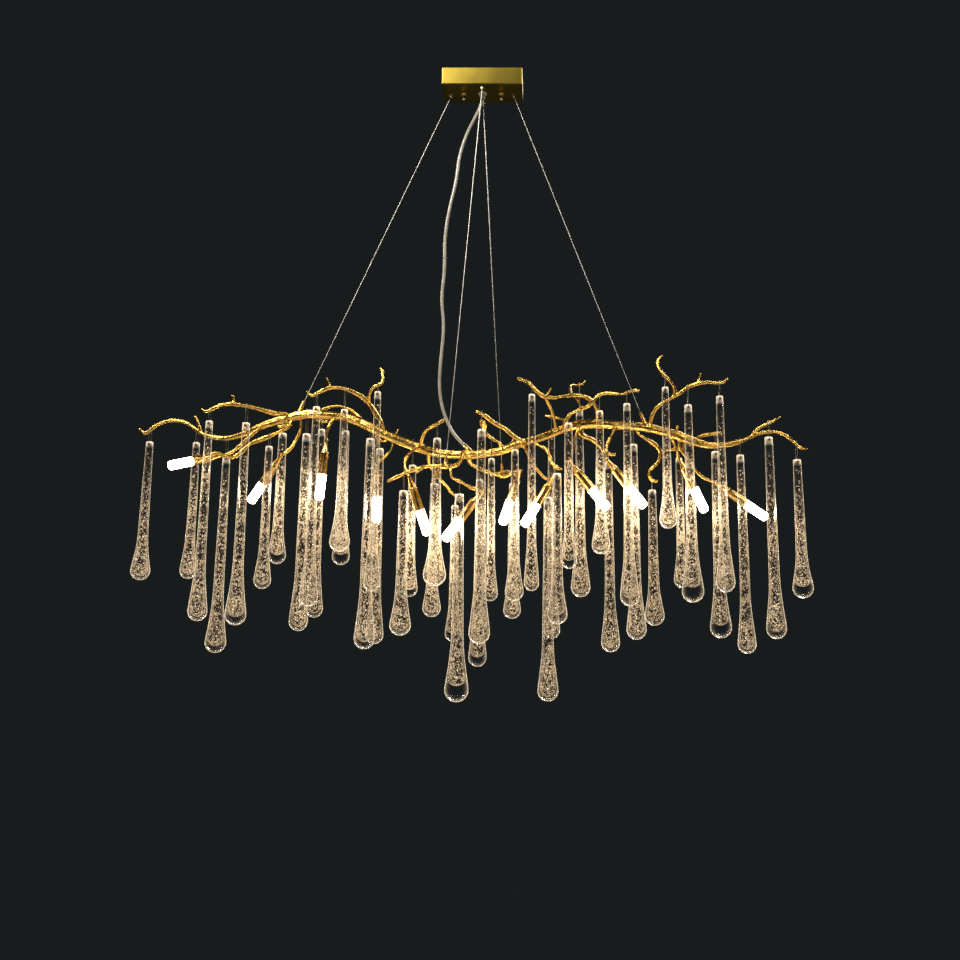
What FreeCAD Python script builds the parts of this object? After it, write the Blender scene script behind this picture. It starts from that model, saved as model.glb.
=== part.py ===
import FreeCAD, Part
import math
import os

# A crystal chandelier: a gilded branch hung on steel cables from a ceiling canopy,
# with twigs, small capsule lamps and long seeded glass drops that swing on wire bails.
# Millimetres. The origin is the middle of the canopy on the ceiling, +Z up, -Y towards the viewer.

Vector = FreeCAD.Vector
UP = Vector(0, 0, 1)
ACROSS = Vector(0, 1, 0)

# Ceiling canopy: a pressed box, open at the ceiling
canopy_length = 154.0
canopy_depth = 70.0
canopy_height = 34.0
canopy_wall = 1.2
canopy_corner = 3.0
canopy_edge = 1.5

# Ceiling bracket inside the canopy, with the two studs that hold it
bracket_length = 120.0
bracket_width = 20.0
bracket_thick = 2.0
screw_spacing = 96.0
screw_hole = 5.0
stud_spacing = 72.0
stud_diameter = 4.0
stud_below_canopy = 9.0
hole_clearance = 0.6
stud_fit = 0.1

# Cap nuts under the canopy
nut_flange = 12.0
nut_flange_height = 3.0
nut_body = 10.0
nut_height = 15.0
nut_flutes = 12
flute_radius = 0.7

# Cable grips: a threaded collar with a swivelling ball that the cable runs into
grip_left = Vector(-60, 0, 0)
grip_right = Vector(60, 0, 0)
grip_front = Vector(0, -25, 0)
grip_rear = Vector(0, 25, 0)
grip_collar = 8.0
grip_collar_height = 5.0
grip_thread = 6.0
grip_ball = 6.4
grip_nut = 11.0
grip_nut_height = 3.0
cable_diameter = 1.5
cable_fit = 0.05

# Cable anchors on the branch
anchor_tube = 7.0
anchor_length = 30.0
low_anchor_length = 17.0
anchor_foot = 11.0
anchor_foot_height = 4.0
anchor_socket = 8.0
anchor_inset = 0.8

# Cord, its gland under the canopy and the ferrule where it enters the branch
cord_diameter = 6.0
gland_diameter = 13.0
gland_height = 12.0
gland_mouth = 9.0
gland_nut = 16.0
gland_nut_height = 4.0
ferrule_diameter = 9.0
ferrule_length = 8.0

# Terminal block on the canopy floor
block_length = 22.0
block_depth = 16.0
block_height = 13.0
block_offset = 24.0
block_ways = 2
block_screw = 4.0

# Twigs, arms and fittings stop this far short of what carries them
seat_gap = 0.3

# Lamps: a brass cone and cup with a frosted capsule bulb
arm_ball = 7.0
cone_length = 24.0
cup_length = 40.0
cup_back = 15.5
cup_mouth = 18.0
cup_wall = 0.9
cup_depth = 14.0
bulb_diameter = 16.0
bulb_length = 46.0
bulb_seat = 0.3

# Glass drops and the wire bails that carry them
bail_wire = 1.4
bail_clearance = 0.7
bail_in_glass = 0.3
bail_corner = 2.0
bail_beside_neck = 1.0
# A bail whose limb bends upwards under it sits this much higher
raised_bails = {31: 0.4}
hole_diameter = 4.5
hole_below_top = 6.0
top_round = 1.6
waist_place = 0.76
waist_flare = 0.26
waist_round = 1.2
belly_height = 1.1
belly_round = 30.0
foot_round = 0.94

# The main branch, left end to right end: x, y, z, diameter.
# A fifth entry is the number of the glass drop that hangs at that point.
main_branch = [
    (-624, 40, -692, 4),
    (-602, 40, -696, 6.5, 1),
    (-580, 39, -682, 6.5),
    (-556, 39, -679, 7),
    (-530, 38, -687, 7),
    (-516, 38, -698, 7, 2),
    (-495, 34, -709, 7.5),
    (-457, 27, -716, 8, 4),
    (-432, 20, -712, 9),
    (-409, 15, -704, 11),
    (-393, 12, -697, 13),
    (-353, 8, -686, 15),
    (-309, 2, -677, 15.5, 8),
    (-275, 0, -680, 15),
    (-239, 0, -684, 15, 11),
    (-193, -2, -704, 15, 13),
    (-154, 0, -722, 15),
    (-117, 2, -736, 17, 17),
    (-87, 4, -746, 16.5),
    (-60, 4, -751, 15.5),
    (-29, 0, -754, 15.5),
    (3, 0, -753, 15.5),
    (34, -3, -749, 15),
    (54, -4, -743, 16),
    (81, -4, -733, 13.5),
    (113, -1, -722, 13.5),
    (147, 2, -707, 15.5),
    (190, 3, -696, 16.5),
    (237, 4, -697, 16.5),
    (279, 3, -700, 15.5, 36),
    (322, 2, -707, 15),
    (353, 0, -717, 15.5),
    (384, -3, -730, 14.5),
    (407, -5, -737, 11),
    (427, -5, -738, 9),
    (469, -4, -731, 8, 43),
    (497, -2, -718, 7),
    (525, 0, -711, 6),
    (551, 3, -716, 5.5),
    (572, 5, -733, 5.5, 45),
    (593, 6, -741, 3),
]

# Twigs, each from its root out to its tip
twigs = {
    "upper_left": [
        (-342, -4, -678, 8),
        (-359, -16, -682, 7.5),
        (-382, -30, -680, 7),
        (-409, -41, -676, 6.5, 5),
        (-432, -46, -674, 7.5),
        (-454, -48, -676, 6.5),
        (-472, -50, -686, 6, 3),
        (-488, -50, -683, 4),
    ],
    "lower_left": [
        (-340, 2, -696, 8),
        (-354, -5, -711, 7),
        (-373, -9, -722, 6.5, 6),
        (-393, -11, -731, 7),
        (-408, -14, -739, 6.5),
        (-423, -18, -757, 7),
        (-439, -24, -765, 6),
        (-457, -30, -760, 5.5),
        (-471, -35, -767, 4),
    ],
    "left_back": [
        (-346, 10, -682, 7),
        (-351, 28, -680, 6),
        (-352, 46, -681, 5.5),
        (-364, 60, -683, 5.5, 7),
        (-375, 62, -683, 4),
    ],
    "left_stub": [
        (-293, 4, -678, 6.5),
        (-296, 18, -680, 6),
        (-288, 34, -682, 5.5, 9),
        (-277, 36, -681, 4),
    ],
    "left_arch": [
        (-291, 4, -671, 5),
        (-267, 9, -661, 5),
        (-243, 10, -662, 5),
        (-222, 6, -676, 5.5),
        (-200, 1, -696, 5.5),
    ],
    "long_left": [
        (-166, -5, -709, 8),
        (-178, -12, -691, 7.5),
        (-194, -20, -667, 7),
        (-210, -30, -653, 6.5),
        (-236, -40, -644, 6.5, 12),
        (-262, -46, -643, 6),
        (-284, -50, -655, 6, 10),
        (-303, -50, -651, 4.5),
    ],
    "long_left_fork": [
        (-195, -22, -664, 6),
        (-194, -33, -655, 5),
        (-189, -43, -646, 5),
        (-183, -46.5, -641.5, 5),
        (-177, -47, -639, 5, 15),
        (-171, -46.5, -635.5, 4.8),
        (-169, -45.5, -628, 4.5),
        (-170, -44, -618, 4.2),
        (-175, -42, -604, 3.5),
    ],
    "under_left": [
        (-182, 5, -709, 7),
        (-186, 22, -714, 6),
        (-181, 39, -717, 5.5, 14),
        (-168, 41, -716, 4),
    ],
    "under_middle": [
        (-87, 8, -747, 6.5),
        (-89, 16, -762, 6),
        (-80, 27, -777, 5.5, 18),
        (-67, 28, -778, 4),
    ],
    "front_riser": [
        (-101, -3, -738, 7.5),
        (-98, -20, -727, 6.5),
        (-88, -42, -720, 6),
        (-68, -68, -717, 5.5, 19),
        (-56, -71, -709, 4.5),
    ],
    "front_low": [
        (-28, -4, -756, 7.5),
        (-30, -24, -772, 7),
        (-38, -38, -784, 7.5),
        (-53, -50, -789, 9.5),
        (-76, -54, -789, 6.5),
        (-101, -57, -794, 6.5),
        (-125, -59, -804, 6, 16),
        (-139, -60, -811, 6),
        (-154, -60, -819, 4.5),
    ],
    "front_low_fork": [
        (-74, -53, -791, 5),
        (-66, -46, -809, 5),
        (-54, -26, -818, 5.5),
        (-47, -13, -825, 5.5),
        (-39, -8, -831, 5.5, 20),
        (-27, -8, -835, 4.5),
    ],
    "middle_upper": [
        (77, -8, -736, 7.5),
        (79, -24, -737, 7),
        (67, -33, -731, 6.5, 26),
        (55, -37, -722, 6.5),
        (45, -42, -716, 6.5),
        (32, -50, -711, 6.5),
        (20, -60, -704, 6.5),
        (9, -64, -697, 6.5, 23),
        (-1, -65, -692, 4.5),
    ],
    "middle_lower": [
        (40, -8, -746, 6.5),
        (33, -16, -733, 5.5),
        (25, -18, -729, 5.5, 24),
        (17, -20, -723, 5.5),
        (11, -42, -703, 5),
    ],
    "rear_low": [
        (-15, 3, -757, 7),
        (-10, 18, -769, 6.5),
        (2, 27, -774, 6, 22),
        (15, 37, -777, 6),
        (28, 46, -778, 6.5),
        (42, 50, -775, 8),
        (52, 57, -771, 6),
        (61, 62, -773, 5.5, 25),
        (72, 63, -776, 4),
    ],
    "middle_high": [
        (219, -3, -692, 7.5),
        (214, -14, -680, 7),
        (205, -26, -663, 6.5),
        (189, -33, -655, 6.5),
        (163, -42, -656, 6.5),
        (134, -52, -663, 6.5),
        (113, -61, -661, 6.5),
        (97, -66, -647, 6, 27),
        (84, -67, -637, 6),
        (72, -68, -632, 4.5),
    ],
    "middle_tie": [
        (133, -5, -705, 6.5),
        (134, -20, -684, 6),
        (126, -34, -670, 5.5),
        (117, -58, -663, 5.5),
    ],
    "middle_back": [
        (151, 8, -700, 6),
        (152, 27, -681, 5.5),
        (132, 50, -668, 5.5, 29),
        (120, 54, -664, 4),
    ],
    "middle_high_fork": [
        (163, -40, -651, 5.5),
        (165, -16, -633, 5),
        (169, 6, -622, 5),
        (183, 25, -615, 5.5, 32),
        (194, 27, -607, 4),
    ],
    "right_upper": [
        (143, -1, -703, 6.4),
        (162, -18, -688, 6, 31),
        (178, -24, -678, 6),
        (197, -30, -672, 6.5),
        (208, -36, -662, 6),
        (217, -38, -654, 6, 33),
        (234, -42, -652, 6),
        (265, -46, -653, 5.5, 35),
        (288, -47, -650, 4),
    ],
    "middle_drooping": [
        (98, -6, -729, 7),
        (115, -20, -745, 6.5),
        (127, -33, -763, 6.5),
        (134, -43, -783, 6),
        (141, -46, -790, 6, 30),
        (150, -47, -793, 4.5),
    ],
    "right_back": [
        (187, 5, -706, 7),
        (198, 14, -719, 7.5),
        (211, 23, -724, 6.5),
        (225, 32, -737, 6),
        (235, 34, -743, 6, 34),
        (249, 35, -744, 4),
    ],
    "right_under": [
        (286, 5, -706, 7.5),
        (307, 24, -720, 6.5),
        (330, 38, -745, 6.5),
        (321, 40, -763, 6),
        (309, 41, -778, 5.5),
        (314, 42, -790, 5.5, 37),
        (325, 42, -792, 4.5),
    ],
    "right_link": [
        (374, 6, -731, 6.5),
        (373, 20, -733, 6),
        (370, 29, -734, 5.5),
        (363, 32, -735, 5.5, 39),
        (353, 33, -735, 5.5),
        (344, 35, -735, 5.5),
        (331, 37, -740, 5),
    ],
    "far_right": [
        (309, -4, -700, 7.5),
        (314, -18, -682, 6.5),
        (327, -28, -668, 6.5),
        (347, -36, -658, 6.5),
        (374, -42, -642, 6.5, 40),
        (391, -44, -635, 7),
        (412, -46, -633, 6),
        (430, -46, -634, 5.5, 42),
        (446, -47, -627, 3.5),
    ],
    "far_right_fork": [
        (347, -36, -658, 5.5),
        (349, -47, -641, 5.5),
        (333, -54, -624, 5, 38),
        (322, -53, -608, 4.5),
        (333, -48, -581, 3),
    ],
    "right_tip": [
        (492, -3, -720, 5.5),
        (501, -14, -710, 5),
        (518, -22, -702, 4.8, 44),
        (541, -24, -690, 3),
    ],
    "right_splint": [
        (390, 4, -722, 6),
        (402, 11, -716, 5.5),
        (414, 13, -713, 5),
        (427, 13, -711, 5, 41),
        (440, 13, -708, 3.5),
    ],
}

# What each twig grows from, where that is not the main branch
grows_from = {
    "long_left_fork": "long_left",
    "front_low_fork": "front_low",
    "middle_high_fork": "middle_high",
    "far_right_fork": "far_right",
}

# Twigs whose far end grows back into another limb
ends_on = {
    "left_arch": "main_branch",
    "middle_tie": "middle_high",
    "right_link": "right_under",
}

# Short cut spurs: root, tip, root diameter, and what they grow from
spurs = [
    ((-508, 36, -703), (-520, 31, -672), 5.5, "main_branch"),
    ((-432, -46, -674), (-434, -50, -658), 5.0, "upper_left"),
    ((-262, -46, -643), (-268, -52, -626), 4.5, "long_left"),
    ((-92, -56, -792), (-102, -70, -804), 5.0, "front_low"),
    ((122, -57, -663), (130, -68, -650), 4.5, "middle_high"),
    ((185, -27, -675), (176, -36, -660), 4.5, "right_upper"),
    ((391, -44, -635), (398, -50, -618), 4.5, "far_right"),
    ((-154, 0, -722), (-146, 16, -702), 7.0, "main_branch"),
    ((54, -4, -743), (64, 8, -722), 7.0, "main_branch"),
    ((353, 0, -717), (360, 12, -698), 6.5, "main_branch"),
]

# Lamps: the arm's points from its root, then the cup's mouth and the bulb's tip, and what carries it.
# A fourth entry on an arm's point is the number of the drop that hangs there.
lamps = {
    "lamp_1": ([(-391, 6, -701), (-402, 3, -711), (-418, 4, -726), (-439, 6, -744)],
               (-502, -40, -777), (-532, -70, -793), "main_branch"),
    "lamp_2": ([(-324, 6, -683), (-322, 9, -704), (-330, 9, -727), (-340, 8, -742)],
               (-390, 36, -797), (-416, 56, -828), "main_branch"),
    "lamp_3": ([(-256, -2, -682), (-266, -8, -700), (-271, -8, -716)],
               (-277, -6, -793), (-281, -6, -840), "main_branch"),
    "lamp_4": ([(-106, -4, -740), (-116, -20, -753), (-125, -33, -770), (-126, -39, -786)],
               (-99, -28, -863), (-86, -20, -902), "main_branch"),
    "lamp_5": ([(-45, -52, -792), (-43, -68, -806), (-37, -83, -819), (-26, -92, -826, 21),
                (-14, -82, -831), (-2, -51, -829)],
               (-28, -36, -881), (-53, -34, -914), "front_low"),
    "lamp_6": ([(34, 47, -778), (44, 43, -784), (56, 41, -780), (67, 42, -773)],
               (57, 36, -832), (43, 30, -876), "rear_low"),
    "lamp_7": ([(80, 0, -738), (92, 4, -758), (104, 10, -777), (115, 13, -789), (125, 14, -796, 28),
                (133, 9, -793)],
               (105, -8, -848), (84, -12, -884), "main_branch"),
    "lamp_8": ([(183, -4, -704), (176, -10, -720), (171, -6, -736), (168, -3, -752)],
               (203, 0, -818), (230, 0, -852), "main_branch"),
    "lamp_9": ([(246, -3, -705), (237, -14, -725), (231, -18, -742), (229, -19, -758)],
               (268, -20, -819), (297, -20, -857), "main_branch"),
    "lamp_10": ([(339, -4, -712), (347, -11, -730), (353, -12, -746)],
                (384, -11, -820), (403, -10, -861), "main_branch"),
    "lamp_11": ([(363, 4, -722), (372, 14, -751), (388, 24, -771), (406, 31, -788), (418, 34, -793)],
                (482, 37, -836), (516, 38, -860), "main_branch"),
    "lamp_12": ([(-162, 6, -716), (-158, 34, -724), (-166, 60, -732)],
                (-190, 78, -815), (-189, 80, -863), "main_branch"),
}
arm_diameter = 5.0

# Glass drops: length, neck diameter, bulb diameter, and the hook point's height over the glass top
short_drop = 250.0
long_drop = 355.0
drops = {
    1: (short_drop + 5, 12.5, 34, 23),
    2: (short_drop + 1, 12.0, 30, 23),
    3: (long_drop - 1, 12.0, 33, 20),
    4: (long_drop, 13.0, 36, 34),
    5: (long_drop + 4, 12.8, 36, 31),
    6: (short_drop + 7, 12.2, 30, 19),
    7: (short_drop - 6, 14.0, 32, 14),
    8: (long_drop, 13.9, 33, 38),
    9: (long_drop - 10, 12.4, 30, 15),
    10: (long_drop, 12.0, 32, 25),
    11: (short_drop - 6, 13.0, 31, 26),
    12: (short_drop + 6, 12.1, 35, 38),
    13: (long_drop + 22, 15.0, 36, 21),
    14: (long_drop + 1, 13.2, 32, 15),
    15: (long_drop + 3, 11.0, 28, 12),
    16: (short_drop + 1, 14.4, 36, 31),
    17: (short_drop - 13, 12.2, 28, 37),
    18: (short_drop - 8, 12.3, 32, 23),
    19: (short_drop + 10, 12.7, 39, 26),
    20: (short_drop - 9, 12.1, 28, 18),
    21: (long_drop - 4, 14.1, 40, 23),
    22: (long_drop - 19, 12.2, 32, 19),
    23: (long_drop + 20, 13.5, 36, 29),
    24: (short_drop + 5, 11.2, 26, 37),
    25: (short_drop - 2, 12.5, 31, 19),
    26: (short_drop + 19, 12.1, 32, 23),
    27: (long_drop - 6, 11.1, 26, 15),
    28: (long_drop + 6, 13.7, 36, 33),
    29: (long_drop + 28, 11.4, 29, 26),
    30: (short_drop + 14, 14.3, 34, 11),
    31: (short_drop + 13, 13.4, 27, 13),
    32: (long_drop - 9, 12.3, 34, 46),
    33: (short_drop + 8, 12.1, 32, 30),
    34: (long_drop - 11, 12.6, 33, 16),
    35: (long_drop + 6, 12.0, 33, 20),
    36: (long_drop - 4, 13.0, 35, 34),
    37: (short_drop - 4, 13.3, 35, 19),
    38: (short_drop + 5, 11.3, 30, 21),
    39: (short_drop - 13, 11.5, 28, 17),
    40: (long_drop - 2, 12.8, 38, 32),
    41: (long_drop - 19, 13.8, 38, 34),
    42: (long_drop - 4, 12.0, 33, 25),
    43: (long_drop - 1, 12.9, 32, 25),
    44: (long_drop + 4, 13.8, 35, 26),
    45: (short_drop, 14.0, 37, 29),
}

# The free cord's route, from the gland's mouth down into the branch
cord_route = [
    (1, 0, -41),
    (-3, -1, -62),
    (-14, -4, -88),
    (-30, -7, -126),
    (-43, -9, -174),
    (-47, -10, -225),
    (-60, -10, -284),
    (-67, -10, -344),
    (-65, -10, -404),
    (-71, -10, -460),
    (-64, -10, -515),
    (-69, -10, -574),
    (-72, -8, -627),
    (-66, -5, -668),
    (-52, -2, -704),
    (-35, 0, -727),
    (-25, 0, -737),
]


limbs = dict(twigs)
limbs["main_branch"] = main_branch


def point(entry):
    """The place of a route's entry."""
    return Vector(*entry[:3])


def tangent_at(route, index):
    """Direction of a route at one of its points."""
    before = point(route[max(index - 1, 0)])
    after = point(route[min(index + 1, len(route) - 1)])
    return (after - before).normalize()


def ring_on(place, direction, side, radius):
    """A circular section square to the direction, its seam turned to the given side."""
    turn = FreeCAD.Rotation(side, direction.cross(side), direction, "ZXY")
    circle = Part.makeCircle(radius)
    circle.Placement = FreeCAD.Placement(place, turn)
    return Part.Wire(circle)


def limb(route):
    """A tapering branch through round sections at each point of its route."""
    side = None
    rings = []
    for index, entry in enumerate(route):
        direction = tangent_at(route, index)
        if side is None:
            side = UP if abs(direction.z) < 0.8 else ACROSS
        side = (side - direction * side.dot(direction)).normalize()
        rings.append(ring_on(point(entry), direction, side, entry[3] / 2))
    return Part.makeLoft(rings, True, False)


def rod(start, end, diameter):
    """A round bar between two points."""
    along = end - start
    return Part.makeCylinder(diameter / 2, along.Length, start, along)


def nearest_on(route, place):
    """Place, direction and diameter of a route's line where it passes nearest to a point."""
    best = None
    for first, second in zip(route, route[1:]):
        start = point(first)
        along = point(second) - start
        share = min(max((place - start).dot(along) / along.dot(along), 0), 1)
        foot = start + along * share
        gap = (place - foot).Length
        if best is None or gap < best[0]:
            diameter = first[3] + (second[3] - first[3]) * share
            best = (gap, foot, along.normalize(), diameter)
    return best[1:]


seats = {}


def seat(limb_name):
    """A limb a little thicker than it is, to cut a saddle for what stands on it."""
    if limb_name not in seats:
        seats[limb_name] = limb([entry[:3] + (entry[3] + 2 * seat_gap,) for entry in limbs[limb_name]])
    return seats[limb_name]


def coped(shape, limb_name):
    """A shape cut to the round of the limb that carries it."""
    pieces = shape.cut(seat(limb_name)).Solids
    return max(pieces, key=lambda piece: piece.Volume)


def on_line(entry, limb_name):
    """An end point moved onto the line of the limb that it meets."""
    foot = nearest_on(limbs[limb_name], point(entry))[0]
    return (foot.x, foot.y, foot.z) + tuple(entry[3:])


def grown(route, limb_name, far_limb_name=None):
    """A limb that grows out of another one, and into a second where its far end meets one."""
    line = [on_line(route[0], limb_name)] + list(route[1:])
    if far_limb_name:
        line[-1] = on_line(line[-1], far_limb_name)
    shape = coped(limb(line), limb_name)
    if far_limb_name and far_limb_name != limb_name:
        shape = coped(shape, far_limb_name)
    return shape


def export(name, solids):
    """One sub-part's file, with each of its pieces a separate solid."""
    shape = solids[0] if len(solids) == 1 else Part.makeCompound(solids)
    shape.exportStep("parts/" + name + ".step")
    print(name, len(solids), "solids, volume", round(shape.Volume / 1000, 2), "cm3")


def upright(diameter, height, place, low):
    """A vertical cylinder whose lower end is at the given height."""
    return Part.makeCylinder(diameter / 2, height, Vector(place.x, place.y, low))


# Canopy and what it holds

canopy_floor = -canopy_height
floor_inside = canopy_floor + canopy_wall
studs = [Vector(-stud_spacing / 2, 0, 0), Vector(stud_spacing / 2, 0, 0)]
grips = [grip_left, grip_right, grip_front, grip_rear]
centre = Vector(0, 0, 0)


def rounded_box(length, depth, low, high, corner):
    """A box with round vertical corners, centred on the origin."""
    box = Part.makeBox(length, depth, high - low, Vector(-length / 2, -depth / 2, low))
    uprights = [edge for edge in box.Edges if abs(edge.tangentAt(edge.FirstParameter).z) > 0.9]
    return box.makeFillet(corner, uprights)


def make_canopy():
    outer = rounded_box(canopy_length, canopy_depth, canopy_floor, 0, canopy_corner)
    rim = [edge for edge in outer.Edges if abs(edge.BoundBox.ZMax - canopy_floor) < 0.01]
    outer = outer.makeFillet(canopy_edge, rim)
    inner = rounded_box(canopy_length - 2 * canopy_wall, canopy_depth - 2 * canopy_wall,
                        floor_inside, 1, canopy_corner - canopy_wall)
    shell = outer.cut(inner)
    holes = [upright(stud_diameter + hole_clearance, canopy_height, stud, canopy_floor - 1) for stud in studs]
    holes += [upright(grip_thread + hole_clearance, canopy_height, grip, canopy_floor - 1) for grip in grips]
    holes.append(upright(gland_mouth + hole_clearance, canopy_height, centre, canopy_floor - 1))
    return shell.cut(holes)


def make_bracket():
    strip = rounded_box(bracket_length, bracket_width, -bracket_thick, 0, bracket_width / 2 - 1)
    holes = [upright(screw_hole, 4 * bracket_thick, Vector(side * screw_spacing / 2, 0, 0), -3 * bracket_thick)
             for side in (-1, 1)]
    holes.append(upright(bracket_width / 2, 4 * bracket_thick, centre, -3 * bracket_thick))
    strip = strip.cut(holes)
    stud_length = canopy_height + stud_below_canopy - bracket_thick
    rods = [upright(stud_diameter, stud_length, stud, canopy_floor - stud_below_canopy) for stud in studs]
    return strip.fuse(rods).removeSplitter().Solids[0]


def make_cap_nut(stud):
    """A fluted cap nut with a domed end and a blind bore for the stud."""
    low = canopy_floor - nut_height
    profile = Part.makePolygon([
        Vector(0, 0, canopy_floor),
        Vector(nut_flange / 2, 0, canopy_floor),
        Vector(nut_flange / 2, 0, canopy_floor - nut_flange_height),
        Vector(nut_body / 2, 0, canopy_floor - nut_flange_height - 0.8),
        Vector(nut_body / 2, 0, low + 3),
        Vector(nut_body / 2 - 2, 0, low + 0.6),
        Vector(nut_body / 2 - 3.4, 0, low),
        Vector(0, 0, low),
        Vector(0, 0, canopy_floor),
    ])
    nut = Part.Face(profile).revolve(centre, UP, 360)
    nut.translate(Vector(stud.x, stud.y, 0))
    flutes = []
    for index in range(nut_flutes):
        angle = 2 * math.pi * index / nut_flutes
        spoke = Vector(math.cos(angle), math.sin(angle), 0) * (nut_body / 2 + flute_radius / 2)
        flutes.append(upright(2 * flute_radius, nut_height - nut_flange_height - 3, stud + spoke, low + 2))
    bore = upright(stud_diameter + stud_fit, stud_below_canopy + 1, stud, canopy_floor - stud_below_canopy - 1)
    return nut.cut(flutes + [bore])


def make_terminal_block():
    """A two-way block with clamp screws, standing on the canopy's floor."""
    corner = Vector(block_offset - block_length / 2, -block_depth / 2 - 20, floor_inside)
    block = Part.makeBox(block_length, block_depth, block_height, corner)
    pitch = block_length / (block_ways + 1)
    cuts = []
    for way in range(block_ways):
        middle = corner + Vector(pitch * (way + 1), block_depth / 2, 0)
        cuts.append(upright(block_screw, block_height, middle, floor_inside + block_height - 3))
        wire_way = Vector(middle.x, corner.y - 1, floor_inside + 4.5)
        cuts.append(Part.makeCylinder(1.6, block_depth + 2, wire_way, ACROSS))
    return block.cut(cuts)


def hexagon(across, place, low, height):
    """A hexagonal nut blank."""
    radius = across / math.sqrt(3)
    corners = [Vector(place.x + radius * math.cos(math.radians(60 * turn)),
                      place.y + radius * math.sin(math.radians(60 * turn)), low) for turn in range(7)]
    return Part.Face(Part.makePolygon(corners)).extrude(UP * height)


# Suspension: four cables from their grips to their anchors on the branch

# Each cable: its grip, the limb it holds, the place on that limb and the length of the anchor there
cables = [
    (grip_left, "main_branch", Vector(-328, 4, -681), anchor_length),
    (grip_right, "main_branch", Vector(303, 3, -704), anchor_length),
    (grip_front, "front_low", Vector(-54, -50, -789), low_anchor_length),
    (grip_rear, "rear_low", Vector(42, 50, -775), low_anchor_length),
]
ball_height = canopy_floor - grip_collar_height - 1.5


def cable_line(cable):
    """The middle of the grip's ball, the cable's direction and its foot on the limb."""
    grip, limb_name, place, length = cable
    start = Vector(grip.x, grip.y, ball_height)
    foot = nearest_on(limbs[limb_name], place)[0]
    return start, (foot - start).normalize(), foot


def make_grip(cable):
    """Collar, thread and ball in one, drilled along the cable, with its nut inside the canopy."""
    grip = cable[0]
    start, along, foot = cable_line(cable)
    collar = upright(grip_collar, grip_collar_height, grip, canopy_floor - grip_collar_height)
    thread_length = canopy_wall + grip_nut_height + 2
    thread = upright(grip_thread, thread_length, grip, canopy_floor)
    ball = Part.makeSphere(grip_ball / 2, start)
    bore = rod(start, start + along * grip_ball, cable_diameter + 2 * cable_fit)
    body = collar.fuse([thread, ball]).cut(bore).removeSplitter().Solids[0]
    nut = hexagon(grip_nut, grip, floor_inside, grip_nut_height)
    nut = nut.cut(upright(grip_thread + 2 * cable_fit, grip_nut_height + 2, grip, floor_inside - 1))
    return [body, nut]


def make_anchor(cable):
    """A turned socket on the branch, in line with its cable, with a flared foot."""
    start, along, foot = cable_line(cable)
    length = cable[3]
    top = foot - along * length
    limb_diameter = nearest_on(limbs[cable[1]], foot)[2]
    flare_height = anchor_foot_height + limb_diameter / 2
    flare_end = min(anchor_foot, limb_diameter - anchor_inset)
    tube_end = min(anchor_tube, flare_end - anchor_inset)
    tube = rod(top, foot, tube_end)
    flare = Part.makeCone(tube_end / 2, flare_end / 2, flare_height, foot - along * flare_height, along)
    socket = rod(top - along, top + along * anchor_socket, cable_diameter + 2 * cable_fit)
    return coped(tube.fuse(flare).cut(socket).removeSplitter(), cable[1])


def make_cable(cable):
    """A taut cable from the middle of the grip's ball down into its anchor."""
    start, along, foot = cable_line(cable)
    return rod(start, foot - along * (cable[3] - anchor_socket), cable_diameter)


# Cord: straight runs joined by tangent arcs as large as the runs allow

def cord_wire():
    corners = [Vector(*place) for place in cord_route]
    edges = []
    here = corners[0]
    for before, corner, after in zip(corners, corners[1:], corners[2:]):
        back = (before - corner)
        ahead = (after - corner)
        shorter = min(back.Length, ahead.Length)
        turn = math.pi - back.getAngle(ahead)
        leave = corner + back.normalize() * shorter * 0.45
        arrive = corner + ahead.normalize() * shorter * 0.45
        radius = shorter * 0.45 / math.tan(turn / 2)
        bisector = (back + ahead).normalize()
        middle = corner + bisector * (radius / math.cos(turn / 2) - radius)
        edges.append(Part.LineSegment(here, leave).toShape())
        edges.append(Part.Arc(leave, middle, arrive).toShape())
        here = arrive
        print("cord bend radius", round(radius, 1))
    edges.append(Part.LineSegment(here, corners[-1]).toShape())
    return Part.Wire(edges)


def make_cord():
    path = cord_wire()
    start = Vector(*cord_route[0])
    section = Part.Wire(Part.makeCircle(cord_diameter / 2, start, path.Edges[0].tangentAt(0)))
    tube = path.makePipeShell([section], True, False)
    expected = math.pi * cord_diameter ** 2 / 4 * path.Length
    print("cord length", round(path.Length, 1), "volume ratio", round(tube.Volume / expected, 4))
    return tube


def make_gland():
    """Strain relief under the canopy: flange, tapered body bored for the cord, and the nut inside."""
    cord_start = Vector(*cord_route[0])
    cord_along = (Vector(*cord_route[1]) - cord_start).normalize()
    low = canopy_floor - gland_height
    body = Part.makeCone(gland_mouth / 2, gland_diameter / 2, canopy_floor - 2 - low, Vector(0, 0, low))
    flange = upright(gland_diameter + 3, 2, centre, canopy_floor - 2)
    thread = upright(gland_mouth, canopy_wall + gland_nut_height + 2, centre, canopy_floor)
    bore = rod(cord_start, cord_start + cord_along * gland_height, cord_diameter + 2 * cable_fit)
    gland = body.fuse([flange, thread]).removeSplitter().cut(bore).Solids[0]
    nut = hexagon(gland_nut, centre, floor_inside, gland_nut_height)
    nut = nut.cut(upright(gland_mouth + 2 * cable_fit, gland_nut_height + 2, centre, floor_inside - 1))
    return [gland, nut]


def make_ferrule():
    """Short collar on the branch that the cord goes into."""
    end = Vector(*cord_route[-1])
    before = Vector(*cord_route[-2])
    along = (end - before).normalize()
    collar = Part.makeCylinder(ferrule_diameter / 2, ferrule_length + 8, end, along)
    return coped(collar, "main_branch")


# Lamps

def lamp_axis(name):
    mouth = Vector(*lamps[name][1])
    tip = Vector(*lamps[name][2])
    return mouth, (tip - mouth).normalize()


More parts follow.
